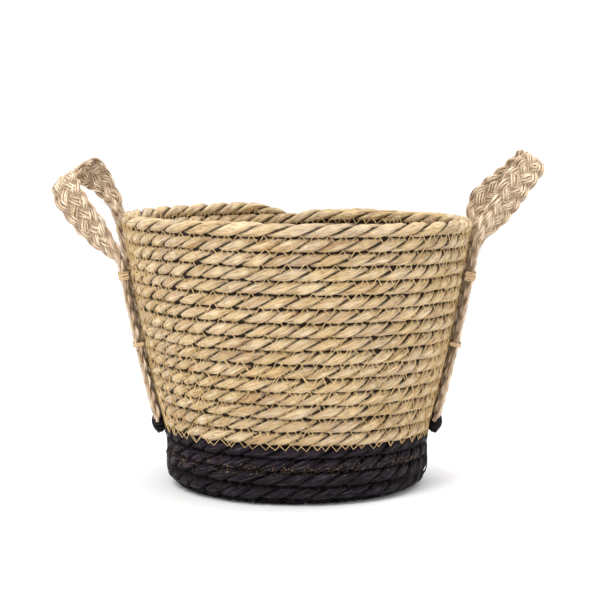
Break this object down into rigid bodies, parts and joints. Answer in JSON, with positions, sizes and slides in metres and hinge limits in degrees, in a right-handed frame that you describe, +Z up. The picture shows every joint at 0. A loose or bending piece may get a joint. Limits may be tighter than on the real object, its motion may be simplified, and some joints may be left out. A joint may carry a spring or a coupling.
{
  "type": "seagrass storage basket",
  "caption": "Flared round storage basket of sewn seagrass rope, with a black foot and a braided jute loop handle that swings on each side.",
  "frame": {"origin": "on the floor, under the middle of the basket", "axes": "+Z up; the front faces -Y; the handles stand at -X (left) and +X (right)"},
  "size_m": [0.3927, 0.2794, 0.2674],
  "materials": {
    "seagrass_rope": "matte",
    "black_rope": "matte",
    "jute_braid": "matte",
    "tan_thread": "matte",
    "black_yarn": "matte"
  },
  "bodies": {
    "basket": {"black_rope_coil": "black_rope", "natural_rope_coil": "seagrass_rope", "left_front_strap_leg": "jute_braid", "left_front_upper_lash": "tan_thread", "left_front_middle_tie": "tan_thread", "left_front_black_knot": "black_yarn", "left_back_strap_leg": "jute_braid", "left_back_upper_lash": "tan_thread", "left_back_middle_tie": "tan_thread", "left_back_black_knot": "black_yarn", "right_front_strap_leg": "jute_braid", "right_front_upper_lash": "tan_thread", "right_front_middle_tie": "tan_thread", "right_front_black_knot": "black_yarn", "right_back_strap_leg": "jute_braid", "right_back_upper_lash": "tan_thread", "right_back_middle_tie": "tan_thread", "right_back_black_knot": "black_yarn"},
    "left_handle": {"left_handle_loop": "jute_braid"},
    "right_handle": {"right_handle_loop": "jute_braid"}
  },
  "joints": [
    {"name": "left_handle_swing", "type": "hinge", "parent": "basket", "child": "left_handle", "pos_m": [-0.14172, 0, 0.17116], "axis": [0, -1, 0], "range_deg": [0, 90]},
    {"name": "right_handle_swing", "type": "hinge", "parent": "basket", "child": "right_handle", "pos_m": [0.14172, 0, 0.17116], "axis": [0, 1, 0], "range_deg": [0, 90]}
  ]
}
